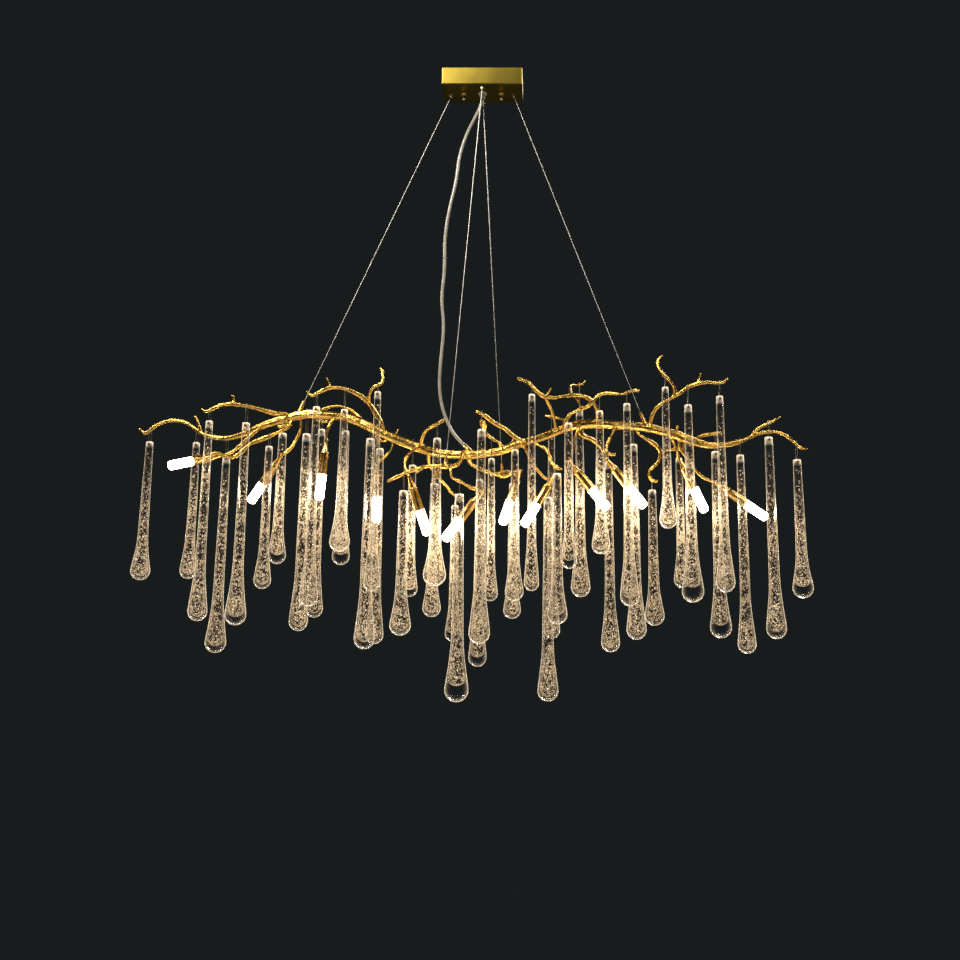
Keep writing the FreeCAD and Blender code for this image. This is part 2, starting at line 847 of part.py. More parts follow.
def lamp_back(name):
    """Centre of the ball behind the cone, where the arm ends."""
    mouth, along = lamp_axis(name)
    return mouth - along * (cone_length + cup_length)


def arm_route(name):
    route = [(entry[0], entry[1], entry[2], arm_diameter) + tuple(entry[3:]) for entry in lamps[name][0]]
    end = lamp_back(name)
    return route + [(end.x, end.y, end.z, arm_diameter)]


def make_arm(name):
    arm = grown(arm_route(name), lamps[name][3])
    back = lamp_back(name)
    ball = Part.makeSphere(arm_ball / 2 + seat_gap, back)
    cone = rod(back, back + lamp_axis(name)[1] * cone_length, arm_ball + 2 * seat_gap)
    return max(arm.cut([ball, cone]).Solids, key=lambda piece: piece.Volume)


def turned(profile, place, along):
    """A profile of radius and distance pairs, turned about an axis and set on a line."""
    corners = [Vector(radius, 0, distance) for radius, distance in profile]
    solid = Part.Face(Part.makePolygon(corners + corners[:1])).revolve(centre, UP, 360)
    solid.Placement = FreeCAD.Placement(place, FreeCAD.Rotation(UP, along))
    return solid


def make_holder(name):
    """Ball, cone and cup in one, hollow at the mouth."""
    along = lamp_axis(name)[1]
    back = lamp_back(name)
    ball = Part.makeSphere(arm_ball / 2, back)
    length = cone_length + cup_length
    profile = [
        (0, 0),
        (arm_ball / 2 - 1, 0),
        (cup_back / 2 - 1.2, cone_length - 2),
        (cup_back / 2, cone_length + 1),
        (cup_mouth / 2 - 0.6, length - 2),
        (cup_mouth / 2, length - 2),
        (cup_mouth / 2, length),
        (cup_mouth / 2 - cup_wall, length),
        (cup_mouth / 2 - cup_wall, length - cup_depth),
        (0, length - cup_depth),
    ]
    return turned(profile, back, along).fuse(ball).removeSplitter().Solids[0]


def make_bulb(name):
    """A frosted capsule whose base sits in the cup."""
    mouth, along = lamp_axis(name)
    base = mouth - along * (cup_depth - bulb_seat)
    radius = bulb_diameter / 2
    length = bulb_length + cup_depth - bulb_seat
    body = Part.makeCylinder(radius, length, base, along)
    tip = [edge for edge in body.Edges if edge.Closed and (edge.CenterOfMass - base).Length > length / 2]
    body = body.makeFillet(radius * 0.62, tip)
    foot = [edge for edge in body.Edges if edge.Closed and (edge.CenterOfMass - base).Length < 0.1]
    return body.makeChamfer(1.5, foot)


# Glass drops

def hooks():
    """Hook point, limb diameter and limb direction for each drop, by its number."""
    found = {}
    routes = list(limbs.values()) + [arm_route(name) for name in lamps]
    for route in routes:
        for index, entry in enumerate(route):
            if len(entry) > 4:
                found[entry[4]] = (point(entry), entry[3], tangent_at(route, index))
    return found


def limb_reach(diameter, direction, side):
    """How far the cross-section of a leaning limb reaches sideways or upwards from the hook point."""
    lean = math.hypot(direction.y, direction.z) or 1
    share = abs(direction.z if side == "up" else direction.y) / lean
    long_half = diameter / 2 / abs(direction.x)
    return math.hypot(long_half * share, diameter / 2 * math.sqrt(1 - share ** 2))


def bail_top(diameter, direction):
    """Height of the wire's centre line where it crosses the limb, measured from the hook point."""
    steepness = math.hypot(direction.x, direction.z) / abs(direction.x)
    return limb_reach(diameter, direction, "up") + (bail_wire / 2 + bail_clearance) * steepness


def pin_height(number):
    """Height of the swing axis, which is the wire through the glass."""
    place = hook_points[number][0]
    glass_top = place.z - drops[number][3]
    hole = glass_top - hole_below_top
    return hole + hole_diameter / 2 - bail_in_glass - bail_wire / 2


def bail_half_width(number):
    """From the wire's centre line to the middle: past the limb, and past the glass neck."""
    place, diameter, direction = hook_points[number]
    slant = math.hypot(direction.x, direction.y) / abs(direction.x)
    beside_limb = limb_reach(diameter, direction, "across") + (bail_wire / 2 + 2 * bail_clearance) * slant
    beside_neck = drops[number][1] / 2 + bail_beside_neck + bail_wire / 2
    return max(beside_limb, bail_top(diameter, direction), beside_neck)


def make_bail(number):
    """A closed wire loop over the limb and through the glass, in the plane across the view."""
    place, diameter, direction = hook_points[number]
    half = bail_half_width(number)
    top = place.z + bail_top(diameter, direction) + raised_bails.get(number, 0)
    pin = pin_height(number)

    def at(side, height):
        return Vector(place.x, place.y + side, height)

    corner = bail_corner
    knee = corner * (1 - math.sqrt(0.5))
    shoulder = half * math.sqrt(0.5)
    edges = [
        Part.Arc(at(-half, top - half), at(0, top), at(half, top - half)).toShape(),
        Part.LineSegment(at(half, top - half), at(half, pin + corner)).toShape(),
        Part.Arc(at(half, pin + corner), at(half - knee, pin + knee), at(half - corner, pin)).toShape(),
        Part.LineSegment(at(half - corner, pin), at(corner - half, pin)).toShape(),
        Part.Arc(at(corner - half, pin), at(knee - half, pin + knee), at(-half, pin + corner)).toShape(),
        Part.LineSegment(at(-half, pin + corner), at(-half, top - half)).toShape(),
    ]
    section = Part.Wire(Part.makeCircle(bail_wire / 2, at(-half, top - half), UP))
    return Part.Wire(edges).makePipeShell([section], True, False)


def tangent_profile(corners):
    """Lines through the corners (radius, height, rounding), each corner rounded by a tangent arc."""
    places = [Vector(radius, 0, height) for radius, height, rounding in corners]
    edges = []
    here = places[0]
    for index in range(1, len(corners) - 1):
        corner = places[index]
        back = (places[index - 1] - corner).normalize()
        ahead = (places[index + 1] - corner).normalize()
        turn = math.pi - back.getAngle(ahead)
        rounding = corners[index][2]
        cut = rounding * math.tan(turn / 2)
        leave = corner + back * cut
        arrive = corner + ahead * cut
        middle = corner + (back + ahead).normalize() * (rounding / math.cos(turn / 2) - rounding)
        edges.append(Part.LineSegment(here, leave).toShape())
        edges.append(Part.Arc(leave, middle, arrive).toShape())
        here = arrive
    edges.append(Part.LineSegment(here, places[-1]).toShape())
    return edges


def make_drop(number):
    """A glass drop: flat top, long slim neck, a waist that flares to a round belly, and the bail's cross hole."""
    place = hook_points[number][0]
    length, neck, bulb, below = drops[number]
    top = place.z - below
    narrow = neck / 2
    wide = bulb / 2
    waist = narrow + waist_flare * (wide - narrow)
    corners = [
        (0, top, 0),
        (narrow, top, top_round),
        (waist, top - waist_place * length, waist_round * length),
        (wide, top - length + belly_height * wide, belly_round),
        (wide, top - length, wide * foot_round),
        (0, top - length, 0),
    ]
    edges = tangent_profile(corners)
    edges.append(Part.LineSegment(Vector(0, 0, top - length), Vector(0, 0, top)).toShape())
    glass = Part.Face(Part.Wire(edges)).revolve(centre, UP, 360)
    glass.translate(Vector(place.x, place.y, 0))
    hole_start = Vector(place.x, place.y - neck, top - hole_below_top)
    return glass.cut(Part.makeCylinder(hole_diameter / 2, 2 * neck, hole_start, ACROSS))


os.makedirs("parts", exist_ok=True)
hook_points = hooks()

export("canopy", [make_canopy()])
export("ceiling_bracket", [make_bracket()])
export("cap_nuts", [make_cap_nut(stud) for stud in studs])
export("terminal_block", [make_terminal_block()])
export("cord_gland", make_gland())
export("power_cord", [make_cord()])

export("suspension_cables", [make_cable(cable) for cable in cables])
export("branch_anchors", [make_ferrule()] + [make_anchor(cable) for cable in cables])
grip_solids = []
for cable in cables:
    grip_solids += make_grip(cable)
export("cable_grips", grip_solids)

export("main_branch", [limb(main_branch)])
twig_solids = []
for name, route in twigs.items():
    twig_solids.append(grown(route, grows_from.get(name, "main_branch"), ends_on.get(name)))
for root, tip, diameter, parent in spurs:
    half_way = (Vector(*root) + Vector(*tip)) / 2 + Vector(0.6, 0.4, 0)
    spur = [root + (diameter,), (half_way.x, half_way.y, half_way.z, diameter * 0.8), tip + (diameter * 0.75,)]
    twig_solids.append(grown(spur, parent))
export("twigs", twig_solids)

export("lamp_arms", [make_arm(name) for name in lamps])
export("lamp_holders", [make_holder(name) for name in lamps])
export("bulbs", [make_bulb(name) for name in lamps])

export("drop_bails", [make_bail(number) for number in sorted(drops)])
for number in sorted(drops):
    export("glass_drop_%02d" % number, [make_drop(number)])
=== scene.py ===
import bpy
import bmesh
import math
import numpy as np
from mathutils import Matrix, Vector, noise


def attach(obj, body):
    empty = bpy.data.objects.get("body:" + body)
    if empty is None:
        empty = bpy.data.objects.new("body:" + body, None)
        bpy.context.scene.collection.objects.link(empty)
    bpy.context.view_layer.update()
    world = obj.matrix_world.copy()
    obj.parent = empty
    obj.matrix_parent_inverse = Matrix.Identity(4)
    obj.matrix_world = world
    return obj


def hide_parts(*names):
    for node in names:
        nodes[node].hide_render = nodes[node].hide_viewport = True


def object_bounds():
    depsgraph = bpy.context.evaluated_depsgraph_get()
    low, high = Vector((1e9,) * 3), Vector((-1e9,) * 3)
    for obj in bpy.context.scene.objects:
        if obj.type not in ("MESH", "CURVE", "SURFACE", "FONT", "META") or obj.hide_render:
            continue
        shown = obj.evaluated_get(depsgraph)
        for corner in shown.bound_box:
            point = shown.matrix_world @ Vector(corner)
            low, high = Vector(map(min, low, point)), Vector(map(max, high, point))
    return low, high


# A crystal chandelier as it hangs: gilded branch, capsule lamps and seeded glass drops. Metres.

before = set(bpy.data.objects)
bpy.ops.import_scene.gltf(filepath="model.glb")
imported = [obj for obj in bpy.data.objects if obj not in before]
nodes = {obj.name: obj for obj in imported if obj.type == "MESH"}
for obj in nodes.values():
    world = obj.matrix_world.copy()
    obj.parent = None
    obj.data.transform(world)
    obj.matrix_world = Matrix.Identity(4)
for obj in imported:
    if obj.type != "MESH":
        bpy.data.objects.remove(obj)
cad_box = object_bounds()
millimetre = 0.001
MAIN_BODY = "chandelier"

# Branch: the fineness of its surface, and how far its roots are softened
branch_voxel = 1.3 * millimetre
least_limb_corners = 400
softening = {"factor": 0.5, "iterations": 2}

# Bark: the heights of its grooves, ridges and lumps, their fineness, and how the grain drifts
groove_depth = 2.4 * millimetre
groove_scale = 1.5
ridge_depth = 0.9 * millimetre
ridge_scale = 4.0
ridge_drift = 1.7
lump_height = 2.2 * millimetre
lump_scale = 42.0
swelling = 0.25 * millimetre
proud_limit = 1.3 * millimetre
grain_drift = (13.0, 17.0, 19.0)

# Lamp cones and cups, measured from the ball on the arm. Neck and waist: radius and distance.
holder_length = 64.0 * millimetre
holder_ball = 3.5 * millimetre
cone_neck = (2.9 * millimetre, 4.2 * millimetre)
cone_waist = (4.4 * millimetre, 13.0 * millimetre)
cone_end = 6.3 * millimetre
cup_start = 24.0 * millimetre
cup_shoulder = 7.2 * millimetre
cup_bead = 1.2 * millimetre
cup_step = 2.0 * millimetre
cup_back = 7.75 * millimetre
cup_foot = 7.35 * millimetre
cup_middle = 8.0 * millimetre
cup_half = 20.0 * millimetre
cup_mouth = 9.0 * millimetre
lip_proud = 0.6 * millimetre
lip_start = 2.2 * millimetre
lip_full = 1.9 * millimetre
cup_wall = 0.9 * millimetre
cup_depth = 14.0 * millimetre
holder_sides = 40

# How much of a lamp's end is read to find its mouth, as a depth and as a share of its length
mouth_depth_read = 1.6 * millimetre
end_share_read = 0.12

# Capsule bulbs, measured from the mouth of the cup
bulb_radius = 8.0 * millimetre
bulb_length = 46.0 * millimetre
bulb_gap = 0.3 * millimetre
bulb_chamfer = 1.5 * millimetre
bulb_dome_share = 0.62
bulb_dome_steps = 8
bulb_sides = 32
bulb_strength = 24.0

# Glass drops: the skin, its drilled hole and its slight waviness
drop_sides = 40
drop_rings = 46
height_step = 0.05 * millimetre
hole_radius = 2.25 * millimetre
hole_margin = 0.6 * millimetre
hole_below_top = 6.0 * millimetre
hole_sides = 20
bore_slant = 0.2
drill_length = 30.0 * millimetre
wave_height = 0.45 * millimetre
wave_start = 20.0 * millimetre
wave_fade = 50.0 * millimetre
wave_across = 0.7
wave_along = 22.0

# The cloud of seeds inside each drop
seed_radius = 1.0 * millimetre
seed_sizes = (0.45, 1.35)
seed_voxel = 1.2 * millimetre
seed_band = 50.0 * millimetre
seeds_in_a_cubic_metre = 1.5e7
core_share = 0.80
core_inset = 0.3 * millimetre
core_below_top = 16.0 * millimetre
core_sides = 24
core_foot_steps = 7
# How far above the foot the seeds stop, in millimetres, and the drops where they stop further up
clear_foot = 7.0
clear_feet = {4: 12, 5: 14, 7: 16, 11: 18, 13: 12, 17: 12, 20: 14, 21: 26, 22: 16, 30: 16, 31: 14,
              35: 14, 40: 26, 41: 22, 44: 12, 45: 20}

# How strongly the glass glows with painted light, and how far round the lit capsules that painted light
# reaches
rim_glow = 1.0
core_glow = 2.6
seed_glow = 2.2
lamp_glow_reach = 34.0 * millimetre
lamp_glow_power = 1.4
lit_limit = 1.5

# Wire bails
bail_radius = 0.7 * millimetre
bail_corner = 2.0 * millimetre
bail_arch_steps = 14
bail_corner_steps = 4
wire_shown = 0.5 * millimetre
wire_sides = 2

# Cord and cables
cord_diameter = 6.0 * millimetre
cable_diameter = 1.5 * millimetre
line_sides = 4
line_steps = 12

# Meshes: what counts as one corner, and the degrees under which facets join or show as smooth
weld_distance = 0.002 * millimetre
axis_radius = 1e-7
flat_angle = 0.6
smooth_angle = 35
glass_smooth_angle = 50

# Camera, floor and background. The pitch is in degrees above level.
camera_place = Vector((0.120, -2.306, -1.380))
camera_pitch = 14.1
camera_shift = -0.0677
camera_lens = 50
camera_sensor = 36
floor_half = 2.4
floor_depth = 2.4
charcoal = (0.0095, 0.0118, 0.0120, 1.0)
soft_grey = (0.05, 0.048, 0.045, 1.0)

# Colours
black = (0.0, 0.0, 0.0)
leaf_gold = (1.0, 0.68, 0.17)
# The brown is painted shade for the grooves of the gilded bark
groove_shade_brown = (0.34, 0.10, 0.008)
lacquer_light = (0.25, 0.19, 0.033)
lacquer_dark = (0.17, 0.13, 0.020)
# Colours of the painted light in the glass: the glow of the rim, of the core and of the seeds
painted_rim_light = (1.0, 0.80, 0.55)
painted_core_light = (1.0, 0.72, 0.38)
painted_seed_light = (1.0, 0.76, 0.44)


# Node trees, written as sums

class Value:
    """An output of a node, on which plain sums add Math nodes."""

    def __init__(self, graph, socket):
        self.graph = graph
        self.socket = socket

    def maths(self, operation, first, second):
        return self.graph.node("ShaderNodeMath", {"operation": operation}, {0: first, 1: second})

    def __add__(self, other):
        return self.maths("ADD", self, other)

    __radd__ = __add__

    def __sub__(self, other):
        return self.maths("SUBTRACT", self, other)

    def __rsub__(self, other):
        return self.maths("SUBTRACT", other, self)

    def __mul__(self, other):
        return self.maths("MULTIPLY", self, other)

    __rmul__ = __mul__

    def between(self, low, high):
        """0 at low and 1 at high, with straight change between them."""
        return self.graph.node("ShaderNodeMapRange", {},
                               {"Value": self, "From Min": low, "From Max": high})


class Graph:
    """A node tree of a material, the world or a geometry modifier."""

    def __init__(self, tree):
        self.tree = tree

    def node(self, kind, settings, sockets, output=0):
        made = self.tree.nodes.new(kind)
        for name, value in settings.items():
            setattr(made, name, value)
        for name, value in sockets.items():
            self.feed(made.inputs[name], value)
        return Value(self, made.outputs[output])

    def feed(self, socket, value):
        if isinstance(value, Value):
            self.tree.links.new(value.socket, socket)
        else:
            socket.default_value = value

    def vector_maths(self, operation, sockets, output=0):
        return self.node("ShaderNodeVectorMath", {"operation": operation}, sockets, output)

    def set_material(self, geometry, finish):
        return self.node("GeometryNodeSetMaterial", {}, {"Geometry": geometry, "Material": finish})

    def noise(self, vector, scale, detail=3.0, w=None):
        """Cloudy noise at a place, or at a place and a fourth number."""
        sockets = {"Vector": vector, "Scale": scale, "Detail": detail}
        if w is None:
            return self.node("ShaderNodeTexNoise", {}, sockets)
        sockets["W"] = w
        return self.node("ShaderNodeTexNoise", {"noise_dimensions": "4D"}, sockets)


class Finish(Graph):
    """A material: its main shader, and what varies over the surface."""

    def __init__(self, name, colour, roughness, **fixed):
        self.material = bpy.data.materials.new(name)
        self.material.use_nodes = True
        super().__init__(self.material.node_tree)
        self.shader = self.tree.nodes["Principled BSDF"]
        self.shader.inputs["Base Color"].default_value = colour + (1.0,)
        self.shader.inputs["Roughness"].default_value = roughness
        for socket, value in fixed.items():
            self.shader.inputs[socket.replace("_", " ")].default_value = value

    def attribute(self, name, output="Fac"):
        return self.node("ShaderNodeAttribute", {"attribute_name": name}, {}, output)

    def place(self):
        return self.node("ShaderNodeTexCoord", {}, {}, "Object")

    def facing(self):
        """0 where the surface faces the eye and 1 along its rim."""
        return self.node("ShaderNodeLayerWeight", {}, {"Blend": 0.5}, "Facing")

    def stretched(self, scale):
        """The place on the piece, drawn out along its axes."""
        return self.node("ShaderNodeMapping", {}, {"Vector": self.place(), "Scale": scale})

    def blend(self, share, low, high):
        """A colour between two, by a share from 0 to 1."""
        return self.node("ShaderNodeMix", {"data_type": "RGBA"},
                         {"Factor": share, 6: low + (1.0,), 7: high + (1.0,)}, 2)

    def bump(self, height, strength, distance):
        lifted = self.node("ShaderNodeBump", {},
                           {"Height": height, "Strength": strength, "Distance": distance})
        self.feed(self.shader.inputs["Normal"], lifted)

    def glow(self, share, colour, strength):
        """Light of its own, by a share from 0 to 1."""
        self.paint(Emission_Color=self.blend(share, black, colour))
        self.shader.inputs["Emission Strength"].default_value = strength

    def paint(self, **varying):
        for socket, value in varying.items():
            self.feed(self.shader.inputs[socket.replace("_", " ")], value)


# Finishes

def gilded_bark():
    """Gold leaf over a grained casting: bright ridges, and brown painted shade in the grooves and along
    the fine grain.
    """
    finish = Finish("gilded_bark", (0.92, 0.58, 0.17), 0.26, Metallic=1.0)
    groove = finish.attribute("groove")
    grain = finish.attribute("grain", "Vector")
    along = finish.attribute("along")
    fine = finish.noise(grain, 7.0, 4.0, w=along * 2.0)
    cloudy = finish.noise(finish.place(), 60.0, 4.0)
    # Brown painted shade in the grooves and along the fine grain, bright gold on the ridges, which are
    # also glossier.
    raised = (groove * 0.75 + fine * 0.45).between(0.40, 0.68)
    finish.paint(Base_Color=finish.blend(raised, groove_shade_brown, leaf_gold),
                 Roughness=0.32 - raised * 0.14 + cloudy * 0.08)
    finish.bump(fine, 0.55, 0.9 * millimetre)
    return finish.material


def satin_gold():
    """Gold lacquer on pressed sheet, with a faint lengthwise brush."""
    finish = Finish("satin_gold", (0.66, 0.53, 0.20), 0.34, Metallic=1.0)
    brushed = finish.noise(finish.stretched((14.0, 900.0, 900.0)), 1.0, 2.0)
    cloudy = finish.noise(finish.place(), 22.0, 3.0)
    finish.paint(Base_Color=finish.blend(cloudy.between(0.3, 0.7), lacquer_dark, lacquer_light),
                 Roughness=0.26 + brushed * 0.16)
    finish.bump(brushed, 0.12, 0.1 * millimetre)
    return finish.material


def turned_metal(name, low, high, roughness):
    """Turned and polished metal with faint handling marks."""
    finish = Finish(name, high, roughness, Metallic=1.0)
    cloudy = finish.noise(finish.place(), 90.0, 4.0)
    scratches = finish.noise(finish.place(), 1400.0, 2.0)
    share = cloudy.between(0.32, 0.68)
    finish.paint(Base_Color=finish.blend(share, low, high),
                 Roughness=roughness - 0.05 + cloudy * 0.12)
    finish.bump(scratches, 0.08, 0.1 * millimetre)
    return finish.material


def moulded(name, low, high, roughness, **fixed):
    """Plain moulded plastic with a fine texture."""
    finish = Finish(name, high, roughness, **fixed)
    cloudy = finish.noise(finish.place(), 120.0, 4.0)
    pores = finish.noise(finish.place(), 2600.0, 2.0)
    finish.paint(Base_Color=finish.blend(cloudy.between(0.3, 0.7), low, high),
                 Roughness=roughness - 0.04 + cloudy * 0.1)
    finish.bump(pores, 0.1, 0.1 * millimetre)
    return finish.material


def clear_glass():
    """The drops' outer skin: clear and fire-polished, with a painted highlight along its rim, stronger
    near the lit capsules, and a painted glow round its flat top.
    """
    finish = Finish("clear_glass", (1.0, 0.95, 0.88), 0.06, Transmission_Weight=1.0, IOR=1.42)
    wavy = finish.noise(finish.place(), 85.0, 2.0)
    rim = finish.facing()
    down = finish.attribute("down")
    lit = finish.attribute("lit")
    flat_top = 1 - down.between(0.026, 0.040)
    # Painted light: a glow along the rim, stronger near the lit capsules, and a glow round the flat
    # top.
    rim_light = rim * rim * (0.55 + wavy * 0.8 + lit * 2.0)
    finish.paint(Alpha=rim * rim * 0.85 + rim * 0.10 + wavy * 0.08 + flat_top * 0.50 + 0.03)
    finish.glow(rim_light + flat_top * 0.42, painted_rim_light, rim_glow)
    finish.bump(wavy, 0.35, 2.0 * millimetre)
    return finish.material


def drilled_glass():
    """The wall of a drop's hole: dull, and dark brown as painted shade in the hole."""
    finish = Finish("drilled_glass", (0.06, 0.04, 0.03), 0.9, Specular_IOR_Level=0.0)
    bore_shade_mottle = finish.noise(finish.place(), 900.0, 2.0)
    # Dark painted shade in the hole, lightly mottled.
    finish.paint(Base_Color=finish.blend(bore_shade_mottle, (0.030, 0.018, 0.012), (0.10, 0.07, 0.05)),
                 Alpha=bore_shade_mottle * 0.3 + 0.6)
    return finish.material


def seeded_core():
    """The cloud of fine bubbles inside a drop: pale flecks with clear glass between them. Painted
    light: the flecks glow, more lower down and most near the lit capsules, and are paler along the rim
    and near the capsules.
    """
    finish = Finish("seeded_core", (1.0, 0.86, 0.68), 0.45)
    down = finish.attribute("down")
    lit = finish.attribute("lit")
    body = down.between(0.04, 0.5)
    rim = finish.facing()
    fleck = finish.noise(finish.stretched((1.0, 1.0, 0.55)), 390.0, 3.0)
    patch = finish.noise(finish.place(), 48.0, 3.0)
    mask = (fleck * 0.72 + patch * 0.28 + rim * 0.10 + body * 0.08 + lit * 0.03).between(0.622, 0.672)
    # Painted light: flecks paler along the rim and near the capsules, and a glow of their own,
    # strongest near the capsules.
    fleck_pale_and_painted_light = mask * (0.12 + body * 0.34 + rim * 0.5 + lit * 0.25)
    filled = mask * 0.97 + 0.03 + lit * 0.3
    light = 0.03 + body * 0.09 + lit * (0.6 + rim * 0.8)
    finish.paint(Base_Color=finish.blend(fleck_pale_and_painted_light, (0.050, 0.027, 0.015), (0.92, 0.76, 0.60)),
                 Alpha=(mask * 0.62 + 0.10) * (0.34 + body * 0.66) + lit * 0.30)
    finish.glow(filled * light, painted_core_light, core_glow)
    finish.bump(fleck, 0.8, 1.0 * millimetre)
    return finish.material


def seed_glass():
    """A single bubble: a bead of air, mottled dark and pale, whose pale parts glow with painted light,
    more lower down and most near the lit capsules.
    """
    finish = Finish("seed_glass", (1.0, 0.92, 0.80), 0.2)
    share = finish.noise(finish.place(), 700.0, 1.0).between(0.46, 0.52)
    down = finish.attribute("down")
    lit = finish.attribute("lit")
    # Painted light: the glow of the pale parts, stronger lower down and near the capsules.
    shine = share * (0.08 + down.between(0.05, 0.6) * 0.34 + lit) + lit * 0.1
    finish.paint(Base_Color=finish.blend(share, (0.06, 0.028, 0.014), (1.0, 0.86, 0.70)))
    finish.glow(shine, painted_seed_light, seed_glow)
    return finish.material


def lit_bulb():
    """Frosted capsule, lit warm white."""
    finish = Finish("lit_bulb", (1.0, 0.96, 0.88), 0.5)
    frost = finish.noise(finish.place(), 500.0, 3.0)
    finish.paint(Emission_Color=finish.blend(frost, (1.0, 0.80, 0.52), (1.0, 0.86, 0.62)))
    finish.shader.inputs["Emission Strength"].default_value = bulb_strength
    finish.bump(frost, 0.2, 0.2 * millimetre)
    return finish.material


gold_bark = gilded_bark()
gold_satin = satin_gold()
gold_turned = turned_metal("turned_gold", (0.72, 0.42, 0.11), (0.95, 0.64, 0.24), 0.24)
gold_wire = turned_metal("bail_wire", (0.16, 0.15, 0.13), (0.34, 0.31, 0.26), 0.35)
grip_brass = turned_metal("grip_brass", (0.55, 0.44, 0.24), (0.82, 0.70, 0.46), 0.25)
cable_steel = turned_metal("cable_steel", (0.30, 0.29, 0.27), (0.50, 0.48, 0.45), 0.35)
zinc = turned_metal("zinc_plate", (0.50, 0.51, 0.52), (0.66, 0.67, 0.68), 0.42)
sheath = moulded("cord_sheath", (0.40, 0.37, 0.31), (0.58, 0.55, 0.48), 0.22, Coat_Weight=0.5,
                 Transmission_Weight=0.3)
block_plastic = moulded("block_plastic", (0.72, 0.70, 0.64), (0.82, 0.80, 0.75), 0.5)
glass_skin = clear_glass()
glass_bore = drilled_glass()
glass_core = seeded_core()
glass_seed = seed_glass()
bulb_glass = lit_bulb()


# Meshes

def painted(mesh, finishes):
    """A mesh with these finishes in place of its own, and each face's number kept."""
    numbers = np.zeros(len(mesh.polygons), dtype=np.int32)
    mesh.polygons.foreach_get("material_index", numbers)
    mesh.materials.clear()
    for finish in finishes:
        mesh.materials.append(finish)
    mesh.polygons.foreach_set("material_index", np.minimum(numbers, len(finishes) - 1))
    return mesh


def placed(name, data):
    """A new object in the scene, at the origin."""
    made = bpy.data.objects.new(name, data)
    bpy.context.scene.collection.objects.link(made)
    return made


def piece(name, mesh, finish, body, slot, *replaced):
    """A finished piece that rides on a body and stands for its CAD nodes."""
    made = placed(name, painted(mesh, finish if isinstance(finish, list) else [finish]))
    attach(made, body)
    if replaced:
        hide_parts(*replaced)


def merged(node):
    """A CAD node's triangles as one joined surface."""
    joined = bmesh.new()
    joined.from_mesh(nodes[node].data)
    bmesh.ops.remove_doubles(joined, verts=joined.verts, dist=weld_distance)
    return joined


def solids_of(node):
    """The corner points of each separate solid of a CAD node."""
    joined = merged(node)
    left = set(joined.verts)
    groups = []
    while left:
        waiting = [left.pop()]
        group = []
        while waiting:
            corner = waiting.pop()
            group.append(corner.co[:])
            for edge in corner.link_edges:
                other = edge.other_vert(corner)
                if other in left:
                    left.remove(other)
                    waiting.append(other)
        groups.append(np.array(group))
    joined.free()
    return groups


def finished_mesh(holder):
    """The mesh that an object shows once its modifiers or its bevel are worked out."""
    bpy.context.view_layer.update()
    shown = holder.evaluated_get(bpy.context.evaluated_depsgraph_get())
    result = bpy.data.meshes.new_from_object(shown)
    bpy.data.objects.remove(holder)
    return result


def baked(name, mesh, *modifiers):
    """A mesh after a stack of modifiers. A number as a setting counts the tree's inputs from 0."""
    holder = placed(name, mesh)
    for kind, settings in modifiers:
        modifier = holder.modifiers.new(kind.lower(), kind)
        for setting, value in settings.items():
            if isinstance(setting, int):
                items = modifier.node_group.interface.items_tree
                sockets = [item for item in items if item.in_out == "INPUT"]
                modifier[sockets[setting].identifier] = value
            else:
                setattr(modifier, setting, value)
    return finished_mesh(holder)


def smooth(mesh, sharp_degrees=smooth_angle):
    """The mesh with its facets shown as smooth, and its true edges kept."""
    mesh.shade_smooth()
    mesh.set_sharp_from_angle(angle=math.radians(sharp_degrees))
    return mesh


def dressed(node, finish, slot):
    """A rigid CAD piece with its facets smoothed and its finish put on."""
    joined = merged(node)
    bmesh.ops.dissolve_limit(joined, angle_limit=math.radians(flat_angle), verts=joined.verts,
                             edges=joined.edges)
    bmesh.ops.triangulate(joined, faces=[face for face in joined.faces if len(face.verts) > 4])
    mesh = bpy.data.meshes.new(node + "_dressed")
    joined.to_mesh(mesh)
    joined.free()
    piece(node + "_dressed", smooth(mesh), finish, MAIN_BODY, slot, node)


def lathe(profile, sides, wave=None):
    """A closed surface turned about Z from radius and height pairs that start and end on the axis."""
    turned = bmesh.new()
    rings = []
    for radius, height in profile:
        if radius < axis_radius:
            rings.append([turned.verts.new((0, 0, height))])
            continue
        ring = []
        for side in range(sides):
            angle = 2 * math.pi * side / sides
            out = radius + (wave(angle, height) if wave else 0)
            ring.append(turned.verts.new((out * math.cos(angle), out * math.sin(angle), height)))
        rings.append(ring)
    for low, high in zip(rings, rings[1:]):
        for side in range(sides):
            after = (side + 1) % sides
            corners = []
            for ring, index in ((low, side), (low, after), (high, after), (high, side)):
                corner = ring[index % len(ring)]
                if corner not in corners:
                    corners.append(corner)
            turned.faces.new(corners)
    bmesh.ops.recalc_face_normals(turned, faces=turned.faces)
    mesh = bpy.data.meshes.new("turned")
    turned.to_mesh(mesh)
    turned.free()
    return mesh


# Geometry trees

def new_tree(name, *inputs):
    """A geometry tree with its group input and output, and named inputs with their defaults."""
    tree = bpy.data.node_groups.new(name, "GeometryNodeTree")
    tree.interface.new_socket("Geometry", in_out="INPUT", socket_type="NodeSocketGeometry")
    for label, kind, value in inputs:
        socket = tree.interface.new_socket(label, in_out="INPUT", socket_type=kind)
        if value is not None:
            socket.default_value = value
    tree.interface.new_socket("Geometry", in_out="OUTPUT", socket_type="NodeSocketGeometry")
    graph = Graph(tree)
    entry = tree.nodes.new("NodeGroupInput")
    ends = tree.nodes.new("NodeGroupOutput")
    given = {socket.name: Value(graph, socket) for socket in entry.outputs if socket.name}
    return graph, given, ends.inputs[0]


